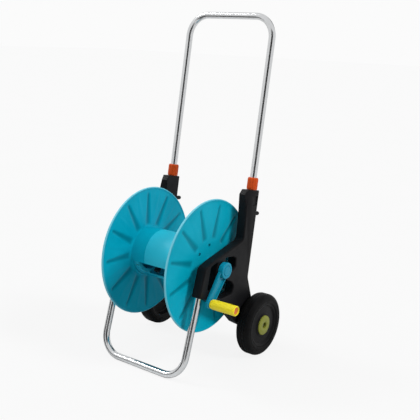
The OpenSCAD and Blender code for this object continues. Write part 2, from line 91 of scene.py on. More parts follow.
def node_tree(name):
    m = bpy.data.materials.new(name)
    m.use_nodes = True
    t = m.node_tree
    return m, t, t.nodes["Principled BSDF"]


def noise_node(t, coords, scale, detail=4.0, rough=0.55):
    n = t.nodes.new("ShaderNodeTexNoise")
    n.inputs["Scale"].default_value = scale
    n.inputs["Detail"].default_value = detail
    n.inputs["Roughness"].default_value = rough
    t.links.new(coords, n.inputs["Vector"])
    return n.outputs["Fac"]


def ramp(t, fac, stops):
    r = t.nodes.new("ShaderNodeValToRGB")
    e = r.color_ramp.elements
    while len(e) < len(stops):
        e.new(0.5)
    for el, (pos, col) in zip(e, stops):
        el.position = pos
        el.color = (*col, 1) if len(col) == 3 else col
    t.links.new(fac, r.inputs["Fac"])
    return r.outputs["Color"]


def grey(v):
    return (v, v, v)


# Vertex attributes: the groove attribute masks painted shade in the drum's grooves, and the edge attribute
# masks a painted highlight along its rims
GROOVE, EDGE = "groove", "edge"


# Sizes of the moulded pattern, as noise scales per metre: cloudy colour, scuffs and uneven gloss
CLOUDS, SCUFFS, GLOSS = 14, 75, 40
# Pale teal that the painted highlight along the drum's rims goes towards
HIGHLIGHT_TEAL = (0.55, 0.88, 0.92, 1)


def moulded(name, colour, rough=0.4, grain=900, grain_depth=0.02, vary=0.06, sheen=0.5, scuff=0.25,
            painted_groove_shade=0.0, painted_edge_highlight=0.0):
    """Moulded plastic or rubber: fine grain, cloudy colour, light scuffs in colour and gloss.
    Where the mesh has a groove attribute, the colour is darkened in the pressed grooves as painted shade,
    and where it has an edge attribute, it is taken towards pale teal along the rim as a painted highlight;
    the last two arguments set how much."""
    m, t, b = node_tree(name)
    coords = t.nodes.new("ShaderNodeTexCoord").outputs["Object"]
    cloud = noise_node(t, coords, CLOUDS, 3)
    lo = [c * (1 - vary) for c in colour]
    hi = [min(1, c * (1 + vary) + 0.004) for c in colour]
    tone = ramp(t, cloud, [(0.3, lo), (0.7, hi)])
    marks = noise_node(t, coords, SCUFFS, 6, 0.7)
    worn = ramp(t, marks, [(0.60, grey(0)), (0.74, grey(scuff))])
    mix = t.nodes.new("ShaderNodeMix")
    mix.data_type = "RGBA"
    mix.inputs["B"].default_value = (*[min(1, c * 1.12 + 0.012) for c in colour], 1)
    t.links.new(worn, mix.inputs["Factor"])
    t.links.new(tone, mix.inputs["A"])
    shown = mix.outputs["Result"]
    # Painted shade: the colour darkens where the groove attribute marks the pressed grooves
    if painted_groove_shade:
        groove = t.nodes.new("ShaderNodeAttribute")
        groove.attribute_name = GROOVE
        shade = ramp(t, groove.outputs["Fac"], [(0.0, grey(1)), (1.0, grey(1 - painted_groove_shade))])
        dim = t.nodes.new("ShaderNodeMix")
        dim.data_type = "RGBA"
        dim.blend_type = "MULTIPLY"
        dim.inputs["Factor"].default_value = 1.0
        t.links.new(shown, dim.inputs["A"])
        t.links.new(shade, dim.inputs["B"])
        shown = dim.outputs["Result"]
        # Painted highlight: the colour goes towards pale teal where the edge attribute marks the rim
        edge = t.nodes.new("ShaderNodeAttribute")
        edge.attribute_name = EDGE
        edge_highlight = ramp(t, edge.outputs["Fac"], [(0.0, grey(0)), (1.0, grey(painted_edge_highlight))])
        pale = t.nodes.new("ShaderNodeMix")
        pale.data_type = "RGBA"
        pale.inputs["B"].default_value = HIGHLIGHT_TEAL
        t.links.new(edge_highlight, pale.inputs["Factor"])
        t.links.new(shown, pale.inputs["A"])
        shown = pale.outputs["Result"]
    t.links.new(shown, b.inputs["Base Color"])
    gloss = ramp(t, noise_node(t, coords, GLOSS, 5, 0.6),
                 [(0.3, grey(max(0.05, rough - 0.05))), (0.7, grey(rough + 0.07))])
    t.links.new(gloss, b.inputs["Roughness"])
    b.inputs["Specular IOR Level"].default_value = sheen
    bump = t.nodes.new("ShaderNodeBump")
    bump.inputs["Strength"].default_value = 0.35
    bump.inputs["Distance"].default_value = grain_depth * MM
    t.links.new(noise_node(t, coords, grain, 2), bump.inputs["Height"])
    t.links.new(bump.outputs["Normal"], b.inputs["Normal"])
    return m


def metal(name, colour, rough, streak=(1, 1, 1), scale=120, vary=0.05, depth=0.01):
    """Metal with fine streaks along one axis."""
    m, t, b = node_tree(name)
    coords = t.nodes.new("ShaderNodeTexCoord").outputs["Object"]
    mapping = t.nodes.new("ShaderNodeMapping")
    mapping.inputs["Scale"].default_value = streak
    t.links.new(coords, mapping.inputs["Vector"])
    fac = noise_node(t, mapping.outputs["Vector"], scale, 4)
    lo = [c * (1 - vary) for c in colour]
    t.links.new(ramp(t, fac, [(0.3, lo), (0.65, colour)]), b.inputs["Base Color"])
    t.links.new(ramp(t, noise_node(t, coords, 60, 5, 0.65),
                     [(0.35, grey(rough * 0.8)), (0.75, grey(rough * 1.5 + 0.01))]),
                b.inputs["Roughness"])
    b.inputs["Metallic"].default_value = 1.0
    bump = t.nodes.new("ShaderNodeBump")
    bump.inputs["Strength"].default_value = 0.2
    bump.inputs["Distance"].default_value = depth * MM
    t.links.new(fac, bump.inputs["Height"])
    t.links.new(bump.outputs["Normal"], b.inputs["Normal"])
    return m


# moulded: colour, roughness, grain and its depth, variation, sheen, scuffs, then the painted shade in the
# drum's grooves and the painted highlight on its rims. metal: colour, roughness, streaks, their scale,
# variation and depth.
M = {
    # The drum's last two values set the painted shade in its grooves and the painted highlight on its rims
    "drum": moulded("drum_teal", (0.0, 0.36, 0.50), 0.34, 700, 0.015, 0.05, 0.07, 0.12, 0.42, 0.28),
    "core": moulded("core_teal", (0.015, 0.50, 0.66), 0.48, 700, 0.015, 0.04, 0.4, 0.15),
    "crank": moulded("crank_teal", (0.0, 0.24, 0.37), 0.25, 700, 0.01, 0.04, 0.2, 0.12),
    "frame": moulded("frame_black", (0.0050, 0.0050, 0.0060), 0.42, 1300, 0.05, 0.15, 0.11, 0.25),
    "fitting": moulded("fitting_black", (0.014, 0.014, 0.016), 0.3, 900, 0.02, 0.1, 0.4, 0.2),
    "tyre": moulded("tyre_black", (0.002, 0.002, 0.0022), 0.5, 800, 0.06, 0.2, 0.1, 0.25),
    "wheel": moulded("wheel_black", (0.0025, 0.0025, 0.003), 0.4, 900, 0.03, 0.15, 0.12, 0.2),
    "seal": moulded("seal_rubber", (0.012, 0.012, 0.012), 0.6, 900, 0.03, 0.1, 0.3, 0.2),
    "collar": moulded("collar_orange", (0.52, 0.062, 0.004), 0.4, 800, 0.02, 0.08, 0.2, 0.2),
    "grip": moulded("grip_yellow", (0.86, 0.71, 0.016), 0.32, 800, 0.02, 0.05, 0.35, 0.15),
    "cap": moulded("cap_orange", (0.62, 0.16, 0.045), 0.5, 800, 0.02, 0.1, 0.3, 0.3),
    "hub": moulded("hub_olive", (0.21, 0.225, 0.028), 0.42, 900, 0.02, 0.07, 0.35, 0.25),
    "nylon": moulded("nylon_white", (0.62, 0.61, 0.57), 0.45, 900, 0.02, 0.04, 0.45, 0.2),
    "chrome": metal("chrome_tube", (0.80, 0.81, 0.82), 0.19, (1, 1, 0.25), 60, 0.04, 0.004),
    "steel": metal("zinc_steel", (0.52, 0.52, 0.53), 0.28, (4, 1, 1), 200, 0.12, 0.02),
    "brass": metal("brass", (0.70, 0.52, 0.24), 0.25, (4, 1, 1), 180, 0.1, 0.02),
}

# ---------------------------------------------------------------- mesh helpers


def piece(name, verts, faces, look, body, stands_for=(), to=None, smooth=35, marks=None):
    """A mesh piece from local millimetres, moved by the matrix `to` first if there is one."""
    mesh = bpy.data.meshes.new(name)
    pts = [place(to @ Vector(v) if to else v) for v in verts]
    mesh.from_pydata(pts, [], faces)
    for key, values in (marks or {}).items():
        mesh.attributes.new(key, "FLOAT", "POINT").data.foreach_set("value", values)
    bm = bmesh.new()
    bm.from_mesh(mesh)
    bmesh.ops.remove_doubles(bm, verts=bm.verts, dist=1e-7)
    bmesh.ops.dissolve_degenerate(bm, edges=bm.edges, dist=1e-8)
    bmesh.ops.recalc_face_normals(bm, faces=bm.faces)
    bm.to_mesh(mesh)
    bm.free()
    return dress(name, mesh, look, body, stands_for, smooth)


def dress(name, mesh, look, body, stands_for=(), smooth=35):
    o = bpy.data.objects.new(name, mesh)
    scene.collection.objects.link(o)
    mesh.materials.append(M[look])
    if smooth:
        mesh.shade_smooth()
        mesh.set_sharp_from_angle(angle=math.radians(smooth))
    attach(o, body)
    if stands_for:
        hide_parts(*stands_for)
    return o


def bridge(faces, a, b, n, closed=True):
    """Quads between two loops of n vertices that start at a and b."""
    for k in range(n if closed else n - 1):
        j = (k + 1) % n
        faces.append((a + k, a + j, b + j, b + k))


def turned(profile, n=96):
    """Surface turned from a closed (radius, x) profile about the local X axis."""
    verts, faces = [], []
    for k in range(n):
        a = 2 * math.pi * k / n
        verts += [(x, r * math.cos(a), r * math.sin(a)) for r, x in profile]
    m = len(profile)
    for k in range(n):
        bridge(faces, k * m, ((k + 1) % n) * m, m)
    return verts, faces


def arc(cx, cy, r, a0, a1, n=5):
    """Points of an arc, angles in degrees."""
    return [(cx + r * math.cos(math.radians(a0 + (a1 - a0) * k / n)),
             cy + r * math.sin(math.radians(a0 + (a1 - a0) * k / n))) for k in range(n + 1)]


def soft_profile(pts, n=4):
    """Rounds the corners of a closed profile of (r, x, radius) points."""
    return loop_of(pts, 0, n, 0.0)


def loop_of(pts, inset, n=5, least=0.3):
    """A closed outline of corners (y, z, radius), rounded and moved to its left by inset."""
    out = []
    count = len(pts)
    for i, (y, z, r) in enumerate(pts):
        p = Vector((y, z))
        before = Vector(pts[i - 1][:2])
        after = Vector(pts[(i + 1) % count][:2])
        e0, e1 = (p - before).normalized(), (after - p).normalized()
        n0, n1 = Vector((-e0.y, e0.x)), Vector((-e1.y, e1.x))
        q = p + (n0 + n1) * inset / (1 + n0.dot(n1))
        turn = math.atan2(e0.x * e1.y - e0.y * e1.x, e0.dot(e1))
        r = max(r - inset, least) if turn > 0 else max(r + inset, least)
        if r < 1e-6:
            out.append(tuple(q))
            continue
        tangent = r * math.tan(abs(turn) / 2)
        start, side = q - e0 * tangent, 1 if turn > 0 else -1
        centre = start + n0 * side * r
        arm = start - centre
        for k in range(n + 1):
            a = turn * k / n
            c, s = math.cos(a), math.sin(a)
            out.append((centre.x + arm.x * c - arm.y * s, centre.y + arm.x * s + arm.y * c))
    return out


def area(loop):
    return sum(a[0] * b[1] - b[0] * a[1] for a, b in zip(loop, loop[1:] + loop[:1])) / 2


def turn_way(pts, left):
    """The corners in the order that runs anticlockwise if left, else clockwise."""
    return pts if (area([p[:2] for p in pts]) > 0) == left else pts[::-1]


def plate(outline, holes, steps, n=5):
    """A plate with rounded edges. steps are (x, inset) pairs from one face to the other."""
    rings = [turn_way(outline, True)] + [turn_way(h, False) for h in holes]
    verts, faces, firsts = [], [], []
    for x, inset in steps:
        starts = []
        for r in rings:
            loop = loop_of(r, inset, n)
            starts.append((len(verts), len(loop)))
            verts += [(x, y, z) for y, z in loop]
        firsts.append(starts)
    for low, high in zip(firsts, firsts[1:]):
        for (a, count), (b, _) in zip(low, high):
            bridge(faces, a, b, count)
    for starts in (firsts[0], firsts[-1]):
        loops = [[Vector((verts[a + k][1], verts[a + k][2], 0)) for k in range(count)]
                 for a, count in starts]
        index = [a + k for a, count in starts for k in range(count)]
        faces += [tuple(index[i] for i in tri) for tri in geometry.tessellate_polygon(loops)]
    return verts, faces


def swept(path, r, n=40):
    """Round bar along a path of points, with closed ends."""
    verts, faces = [], []
    up = None
    for i, p in enumerate(path):
        a, b = path[max(i - 1, 0)], path[min(i + 1, len(path) - 1)]
        t = (b - a).normalized()
        if up is None:
            up = t.orthogonal().normalized()
        up = (up - t * up.dot(t)).normalized()
        side = t.cross(up)
        verts += [tuple(p + up * r * math.cos(2 * math.pi * k / n)
                        + side * r * math.sin(2 * math.pi * k / n)) for k in range(n)]
    for i in range(len(path) - 1):
        bridge(faces, i * n, (i + 1) * n, n)
    faces.append(tuple(range(n)))
    faces.append(tuple(range((len(path) - 1) * n, len(path) * n)))
    return verts, faces


def joined(*parts):
    verts, faces = [], []
    for v, f in parts:
        base = len(verts)
        verts += v
        faces += [tuple(base + i for i in face) for face in f]
    return verts, faces


MIRROR = Matrix.Diagonal((-1, 1, 1, 1))
AT_DRUM = Matrix.Translation((0, drum_axis.y, drum_axis.z))
AT_AXLE = Matrix.Translation((0, 0, axle_z))

# ---------------------------------------------------------------- drum

rim_x = sheet_x + 4.5  # the rim's outer side
core_r = (here(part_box("drum_core")[1]).z - here(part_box("drum_core")[0]).z) / 2
SEAM_X = 57.0  # where the flange's sleeve meets the core's middle
SHEET = 3.0  # thickness of the pressed sheet
CHANNELS = 12
CHANNEL_WIDE, CHANNEL_NARROWS = 13.5, 6.5  # half width at the core, and how much it loses outwards


def smoothstep(a, b, v):
    t = min(1, max(0, (v - a) / (b - a)))
    return t * t * (3 - 2 * t)


def channel(r, angle, turn):
    """Depth from 0 to 1 of the pressed channels that lie at turn degrees and every 30 on."""
    pitch = 360 / CHANNELS
    off = (angle - turn + pitch / 2) % pitch - pitch / 2
    half = CHANNEL_WIDE - CHANNEL_NARROWS * smoothstep(core_r + 8, flange_r - 12, r)
    u = abs(math.radians(off)) * r / half
    across = 1 - smoothstep(0.1, 1.0, u)
    starts = smoothstep(core_r + 3, core_r + 12, r)
    ends = 1 - smoothstep(flange_r - 22, flange_r - 11, r)
    return across * starts * ends


OUTER_TURN, INNER_TURN = 180 / CHANNELS, 0
GROOVE_OUT, BULGE_IN = 2.7, 0.5  # a groove of the outer face, and its bulge on the inner face
GROOVE_IN, BULGE_OUT = 2.4, 0.3  # a groove of the inner face, and its bulge on the outer face


def flange_mesh():
    """Pressed disc with grooves on its outer face and, between them, on its inner face.
    Gives the vertices, the faces and each vertex's groove and edge values."""
    inner, outer = sheet_x, sheet_x + SHEET
    face = [core_r + 2 + k * (flange_r - 10 - core_r) / 34 for k in range(35)]
    prof = []  # (r, x, which face of the sheet it is on: -1 inner, 1 outer, 0 neither)
    prof += [(r, inner, -1) for r in face]
    prof += [(flange_r - 6, inner, 0), (flange_r - 5.2, inner - 0.5, 0),
             (flange_r - 4.8, rim_x - 5.2, 0)]
    prof += [(flange_r - 2.6 + 2.6 * math.cos(a), rim_x - 3.0 + 3.0 * math.sin(a), 0)
             for a in [math.radians(v) for v in (-120, -90, -60, -30, 0, 30, 60, 90, 120)]]
    prof += [(flange_r - 6.4, outer + 0.5, 0), (flange_r - 8, outer, 0)]
    prof += [(r, outer, 1) for r in reversed(face)]
    prof += [(core_r - 6, outer, 0), (27, outer, 0), (24.5, outer + 0.6, 0), (23.4, outer + 2, 0),
             (22.6, rim_x + 4, 0), (21.6, rim_x + 5, 0), (8.3, rim_x + 5, 0), (8.3, 80, 0),
             (22, 80, 0), (22, inner - 1, 0), (23, inner, 0), (core_r - 3, inner, 0),
             (core_r - 3, SEAM_X, 0), (core_r - 0.3, SEAM_X, 0), (core_r, SEAM_X + 0.3, 0),
             (core_r, inner - 2, 0), (core_r + 0.5, inner - 0.6, 0)]
    n = 360
    verts, faces, grooves, edges = [], [], [], []
    for k in range(n):
        deg = 360 * k / n
        a = math.radians(deg)
        for r, x, side in prof:
            out, into = channel(r, deg, OUTER_TURN), channel(r, deg, INNER_TURN)
            if side == 1:
                x += BULGE_OUT * into - GROOVE_OUT * out
            elif side == -1:
                x += GROOVE_IN * into - BULGE_IN * out
            verts.append((x, r * math.cos(a), r * math.sin(a)))
            # The groove values mask a painted shade in the grooves, and the edge values mask a painted
            # highlight along the rim
            grooves.append(out if side == 1 else into if side == -1 else 0.0)
            edges.append(smoothstep(flange_r - 3.5, flange_r - 1.0, r))
    m = len(prof)
    for k in range(n):
        bridge(faces, k * m, ((k + 1) % n) * m, m)
    return verts, faces, {GROOVE: grooves, EDGE: edges}


WINDOW = (192.0, 262.0)  # the core's window, in degrees about the drum's axis
WINDOW_HALF = 96
WINDOW_R = (core_r - 9, core_r + 9)
flange_v, flange_f, flange_marks = flange_mesh()


def cutter(name, verts, faces, to):
    mesh = bpy.data.meshes.new(name)
    mesh.from_pydata([place(to @ Vector(v)) for v in verts], [], faces)
    bm = bmesh.new()
    bm.from_mesh(mesh)
    bmesh.ops.recalc_face_normals(bm, faces=bm.faces)
    bm.to_mesh(mesh)
    bm.free()
    o = bpy.data.objects.new(name, mesh)
    scene.collection.objects.link(o)
    return o


def cut(o, *tools):
    """Cuts the tools out of o for good."""
    for tool in tools:
        mod = o.modifiers.new("cut", "BOOLEAN")
        mod.operation = "DIFFERENCE"
        mod.solver = "EXACT"
        mod.object = tool
    deps = bpy.context.evaluated_depsgraph_get()
    mesh = bpy.data.meshes.new_from_object(o.evaluated_get(deps))
    o.modifiers.clear()
    old = o.data
    o.data = mesh
    bpy.data.meshes.remove(old)
    for tool in tools:
        data = tool.data
        bpy.data.objects.remove(tool)
        bpy.data.meshes.remove(data)
    return o


def rod(x0, x1, r, y=0.0, z=0.0, n=40):
    verts = [(x, y + r * math.cos(2 * math.pi * k / n), z + r * math.sin(2 * math.pi * k / n))
             for x in (x0, x1) for k in range(n)]
    faces = []
    bridge(faces, 0, n, n)
    faces += [tuple(range(n)), tuple(range(n, 2 * n))]
    return verts, faces


def window_tool(name, x0, x1, r0, r1, to):
    """Block that cuts the core's window between two radii."""
    n = 24
    verts, faces = [], []
    for x in (x0, x1):
        for r in (r0, r1):
            for k in range(n + 1):
                a = math.radians(WINDOW[0] + (WINDOW[1] - WINDOW[0]) * k / n)
                verts.append((x, r * math.cos(a), r * math.sin(a)))
    m = n + 1
    loops = [0, m, 3 * m, 2 * m]
    for a, b in zip(loops, loops[1:] + loops[:1]):
        bridge(faces, a, b, m, closed=False)
    faces.append((0, m, 3 * m, 2 * m))
    faces.append((m - 1, 2 * m - 1, 4 * m - 1, 3 * m - 1))
    return cutter(name, verts, faces, to)


# Three pairs of screw wells, 45 degrees apart in a pair
WELLS = [90 + 120 * k + turn for k in range(3) for turn in (0, 45)]
WELL_R, WELL_GAP = 4.6, 0.4
WELL_RING_R = core_r - 10
SCREW_SEAT = sheet_x + SHEET - 6.5


def well_tools(x0, x1, r, to):
    """Rods that cut the screws' wells from x0 to x1."""
    tools = []
    for degrees in WELLS:
        a = math.radians(degrees)
        well = rod(x0, x1, r, WELL_RING_R * math.cos(a), WELL_RING_R * math.sin(a), 28)
        tools.append(cutter("tool", *well, to))
    return tools


for name, to in (("left", AT_DRUM @ MIRROR), ("right", AT_DRUM)):
    o = piece(f"drum_flange_{name}", flange_v, flange_f, "drum", "drum", (f"flange_{name}",),
              to, 40, flange_marks)
    cut(o, window_tool("tool", SEAM_X - 1, sheet_x - 6.5, *WINDOW_R, to),
        *well_tools(sheet_x - 5, sheet_x + SHEET + 1, WELL_R, to))
    o.data.set_sharp_from_angle(angle=math.radians(40))

# The core's seats for the flanges' sleeves, and the ring at each end that the screws go into
RING_R, RING_X, SLEEVE_R = core_r - 18, 86.0, core_r - 3.2
half_core = [(core_r, SEAM_X - 0.6), (core_r - 0.5, SEAM_X - 0.1), (SLEEVE_R, SEAM_X + 0.1),
             (SLEEVE_R, sheet_x - 0.1), (RING_R, sheet_x - 0.1), (RING_R, RING_X), (core_r - 6.5, RING_X)]
core = half_core + [(r, -x) for r, x in reversed(half_core)]
o = piece("winding_core", *turned(core, 180), "core", "drum", ("drum_core",), AT_DRUM, 40)
cut(o, window_tool("tool", -WINDOW_HALF, WINDOW_HALF, *WINDOW_R, AT_DRUM),
    *well_tools(SCREW_SEAT, sheet_x + 1, WELL_R + WELL_GAP, AT_DRUM),
    *well_tools(SCREW_SEAT, sheet_x + 1, WELL_R + WELL_GAP, AT_DRUM @ MIRROR))
o.data.set_sharp_from_angle(angle=math.radians(40))

# ---------------------------------------------------------------- side frames

FOOT_Y = collar_mid.y - collar_mid.z * math.tan(handle_lean)


def tube_y(z):
    return FOOT_Y + z * math.tan(handle_lean)


COLLAR_SEAT = 16.5  # from the collar's middle down to the post's top, along the handle
POST_TOP = collar_mid.z - COLLAR_SEAT * math.cos(handle_lean)
top_y = tube_y(POST_TOP)


def top_z(y):
    return POST_TOP - (y - top_y) * math.tan(handle_lean)


FRONT, BACK = -51.0, top_y + 17.5  # front and back of the post's top
# Corners as (y, z, radius)
OUTLINE = [
    (BACK, top_z(BACK), 2), (FRONT + 12, top_z(FRONT + 12), 1.5),
    (FRONT, POST_TOP - 7, 2), (FRONT - 1, 380, 40), (FRONT - 7, 327, 14), (-187, 296, 30),
    (-219, 286, 12), (-240.5, 213, 2), (-216, 205, 3), (-110, 139, 30), (-72, 101, 20),
    (-14, 68, 4), (20, 94, 4), (-26, 219, 20),
]
OPENINGS = [
    [(-137, 296, 3), (-101, 292, 5), (-88, 286, 5), (-88, 262, 6), (-106, 253, 5), (-126, 266, 8)],
    [(-164, 292, 4), (-196, 284, 6), (-208, 226, 6), (-196, 222, 5), (-173, 258, 8), (-171, 276, 6)],
    [(-143, 243, 5), (-122, 232, 6), (-104, 224, 6), (-92, 210, 7), (-100, 190, 8),
     (-150, 190, 8), (-176, 206, 7), (-156, 238, 5)],
]
IN_X, OUT_X = frame_lo.x, frame_hi.x - 0.5
EDGE_IN, EDGE_OUT = 2.5, 3.2  # radius of the edges on the drum's side and outside
steps = ([(IN_X, EDGE_IN + 1.0)]
         + [(IN_X + EDGE_IN - EDGE_IN * math.cos(a), EDGE_IN - EDGE_IN * math.sin(a))
            for a in [math.radians(v) for v in (0, 22, 45, 68, 90)]]
         + [(OUT_X - EDGE_OUT + EDGE_OUT * math.sin(a), EDGE_OUT - EDGE_OUT * math.cos(a))
            for a in [math.radians(v) for v in (0, 22, 45, 68, 90)]]
         + [(OUT_X, EDGE_OUT + 1.0)])
frame_v, frame_f = plate(OUTLINE, OPENINGS, steps)


def corner_block(a, b, c, size=60, thick=40):
    """Block with one face on the plane of a, b and c, lying on its front side."""
    a, b, c = Vector(a), Vector(b), Vector(c)
    normal = (b - a).cross(c - a).normalized()
    if normal.y > 0:
        normal.negate()
    t1 = (b - a).normalized()
    t2 = normal.cross(t1)
    centre = (a + b + c) / 3
    verts = [tuple(centre + t1 * size * i + t2 * size * j + normal * thick * k)
             for k in (0, 1) for i, j in ((-1, -1), (1, -1), (1, 1), (-1, 1))]
    faces = [(0, 1, 2, 3), (4, 5, 6, 7)]
    bridge(faces, 0, 4, 4)
    return verts, faces


LOCK_RECESS = [(-22, 413, 2.5), (-4.5, 413, 2.5), (-2.5, 437, 2.5), (-20, 439, 2.5)]
LOCK_STEPS = [(OUT_X - 2.2, 1.0), (OUT_X - 2.0, 0.4), (OUT_X + 1, 0.0)]
CORNER = ((OUT_X, -36, 448), (OUT_X, FRONT - 1, 410), (OUT_X - 8, FRONT, 444))
for name, to in (("left", MIRROR), ("right", Matrix.Identity(4))):
    o = piece(f"frame_{name}", frame_v, frame_f, "frame", "frame", (f"side_frame_{name}",), to, 30)
    corner = corner_block(*CORNER)
    lock = plate(LOCK_RECESS, [], LOCK_STEPS, 3)
    cut(o, cutter("tool", *lock, to), cutter("tool", *corner, to))
    edge = o.modifiers.new("edge", "BEVEL")
    edge.width = 0.8 * MM
    edge.segments = 2
    edge.limit_method = "ANGLE"
    edge.angle_limit = math.radians(40)
    o.data.set_sharp_from_angle(angle=math.radians(50))

# ---------------------------------------------------------------- tubes

tube_x = collar_mid.x
TUBE_R, BEND = 9.0, 57.0
HANDLE_LOW = 378  # height of the handle's lower ends
LEG_LEAN, LEG_LENGTH = math.radians(15.7), 265.0


def u_path(base, up, length, n=14):
    """Points along a U: up one leg, over two bends and down the other leg."""
    up = up.normalized()
    across = Vector((1, 0, 0))
    pts = [base + across * tube_x + up * s for s in (0, (length - BEND) * 0.5)]
    for k in range(n + 1):
        a = math.pi / 2 * k / n
        pts.append(base + across * (tube_x - BEND + BEND * math.cos(a))
                   + up * (length - BEND + BEND * math.sin(a)))
    for k in range(n + 1):
        a = math.pi / 2 * k / n
        pts.append(base + across * (BEND - tube_x - BEND * math.sin(a))
                   + up * (length - BEND + BEND * math.cos(a)))
    pts += [base - across * tube_x + up * s for s in ((length - BEND) * 0.5, 0)]
    return pts


handle_top = here(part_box("handle_tube")[1]).z
handle_foot = Vector((0, FOOT_Y, 0)) + handle_dir * (HANDLE_LOW / handle_dir.z)
handle_len = (handle_top - TUBE_R - handle_foot.z) / handle_dir.z
piece("handle_bar", *swept(u_path(handle_foot, handle_dir, handle_len), TUBE_R, 48), "chrome", "handle",
      ("handle_tube",), None, 60)
leg_lo = here(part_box("leg_tube")[0])
leg_low = Vector((0, leg_lo.y + TUBE_R, leg_lo.z + TUBE_R))
leg_up = Vector((0, math.sin(LEG_LEAN), math.cos(LEG_LEAN)))
leg_path = u_path(leg_low + leg_up * LEG_LENGTH, -leg_up, LEG_LENGTH)
piece("leg_bar", *swept(leg_path, TUBE_R, 48), "chrome", "frame", ("leg_tube",), None, 60)

# ---------------------------------------------------------------- collars

along = Matrix(((1, 0, 0), (0, math.cos(handle_lean), math.sin(handle_lean)),
                (0, -math.sin(handle_lean), math.cos(handle_lean)))).to_4x4()
COLLAR_R, COLLAR_BORE = 14.2, 9.4


def collar_mesh(half=16.0, ribs=12, n=144):
    """Twist collar turned about Z, with scallops between two plain rims."""
    rows = [(COLLAR_BORE, -half), (COLLAR_R - 1.6, -half), (COLLAR_R - 0.7, -half + 0.5),
            (COLLAR_R - 0.4, -half + 2)]
    rows += [(COLLAR_R, -half + 3 + (2 * half - 8) * k / 10) for k in range(11)]
    rows += [(COLLAR_R - 0.3, half - 3.5), (COLLAR_R - 0.9, half - 1.2), (COLLAR_R - 2.4, half - 0.2),
             (COLLAR_R - 3.4, half), (COLLAR_BORE, half)]
    verts, faces = [], []
    for k in range(n):
        a = 2 * math.pi * k / n
        for r, z in rows:
            mid = smoothstep(-half + 2, -half + 6, z) * (1 - smoothstep(half - 6, half - 2.5, z))
            dip = 1.0 * mid * max(0, math.cos(a * ribs)) ** 1.5 if r > 13 else 0
            verts.append(((r - dip) * math.cos(a), (r - dip) * math.sin(a), z))
    m = len(rows)
    for k in range(n):
        bridge(faces, k * m, ((k + 1) % n) * m, m)
    return verts, faces


for name, s in (("left", -1), ("right", 1)):
    to = Matrix.Translation((s * tube_x, collar_mid.y, collar_mid.z)) @ along
    piece(f"twist_collar_{name}", *collar_mesh(), "collar", f"collar_{name}", (f"collar_{name}",), to, 40)

# ---------------------------------------------------------------- wheels

wheel_r = axle_z
wheel_in, wheel_out = here(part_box("tyre_right")[0]).x, here(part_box("tyre_right")[1]).x


SHOULDER = 13  # radius of the tyre's shoulders
SEAT_R, AXLE_BORE = 60, 5.2
TREADS, TREAD_DEPTH = (8, 0, -8), 1.0  # places of the three tread grooves


def tyre_profile():
    """Round-shouldered tyre with a shallow step in the sidewall and three fine tread grooves."""
    i, o, r = wheel_in, wheel_out, wheel_r
    side = [(SEAT_R, o - 3), (62, o - 0.8), (64, o), (69, o), (69.6, o - 0.7), (70.8, o - 0.7),
            (71.4, o - 0.1)]
    out = [(SEAT_R, i + 3)] + side
    for a in [math.radians(v) for v in range(84, -1, -12)]:
        out.append((r - SHOULDER + SHOULDER * math.cos(a), o - SHOULDER + SHOULDER * math.sin(a)))
    mid = (i + o) / 2
    for c in [mid + v for v in TREADS]:
        out += [(r, c + 1.2), (r - TREAD_DEPTH, c + 0.7), (r - TREAD_DEPTH, c - 0.7), (r, c - 1.2)]
    for a in [math.radians(v) for v in range(0, 85, 12)]:
        out.append((r - SHOULDER + SHOULDER * math.cos(a), i + SHOULDER - SHOULDER * math.sin(a)))
    out += [(radius, 2 * mid - x) for radius, x in reversed(side)]
    return out


CAP_R, CAP_BORE = 27, 8.6
CAP_SEAT_R = 27.3
# Profiles as (radius, x, rounding)
RIM = [(AXLE_BORE, wheel_in, 0), (13, wheel_in, 1), (14, wheel_out - 21, 2), (55, wheel_out - 21, 3),
       (56, wheel_in + 3, 0), (SEAT_R, wheel_in + 3, 0), (SEAT_R, wheel_out - 3, 0),
       (58, wheel_out - 2.4, 0.6), (55.5, wheel_out - 3.5, 1), (52, wheel_out - 7.5, 3),
       (34, wheel_out - 6.5, 3), (30.5, wheel_out - 4.4, 1), (CAP_SEAT_R, wheel_out - 4.4, 0.4),
       (CAP_SEAT_R, wheel_out - 9, 0), (13, wheel_out - 9, 0), (13, wheel_out - 14, 0),
       (AXLE_BORE, wheel_out - 14, 0)]
CAP = [(CAP_BORE, wheel_out - 8.5, 0), (CAP_R, wheel_out - 8.5, 0), (CAP_R, wheel_out - 1.8, 1.4),
       (19, wheel_out, 4), (11.5, wheel_out, 0.5), (10.6, wheel_out - 0.9, 0.5),
       (CAP_BORE, wheel_out - 0.9, 0.3)]
for name, to in (("left", AT_AXLE @ MIRROR), ("right", AT_AXLE)):
    body = f"wheel_{name}"
    piece(f"wheel_tyre_{name}", *turned(tyre_profile(), 120), "tyre", body, (f"tyre_{name}",), to, 35)
    piece(f"wheel_rim_{name}", *turned(soft_profile(RIM), 120), "wheel", body, (f"rim_{name}",), to, 35)
    piece(f"wheel_cap_{name}", *turned(soft_profile(CAP), 96), "hub", body, (f"hub_cap_{name}",), to, 35)

# ---------------------------------------------------------------- crank

crank_in = here(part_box("crank_arm")[0]).x
crank_out = here(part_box("crank_arm")[1]).x
arm_out = crank_in + 10
throw = Vector((0, grip_mid.y - drum_axis.y, grip_mid.z - drum_axis.z))
crank_len = throw.length
turn = math.atan2(throw.z, throw.y)
ON_CRANK = AT_DRUM @ Matrix.Rotation(turn, 4, "X")
HEAD_R, SCREW_BORE = 21.0, 3.2
ARM_HALF, TIP_LESS = 17, 4  # the arm at its head, and how much narrower it is at its tip
EYE_R, PIN_BORE = 11.4, 4.2
COVER_R, COVER_SEAT_R = 12.9, 13.1


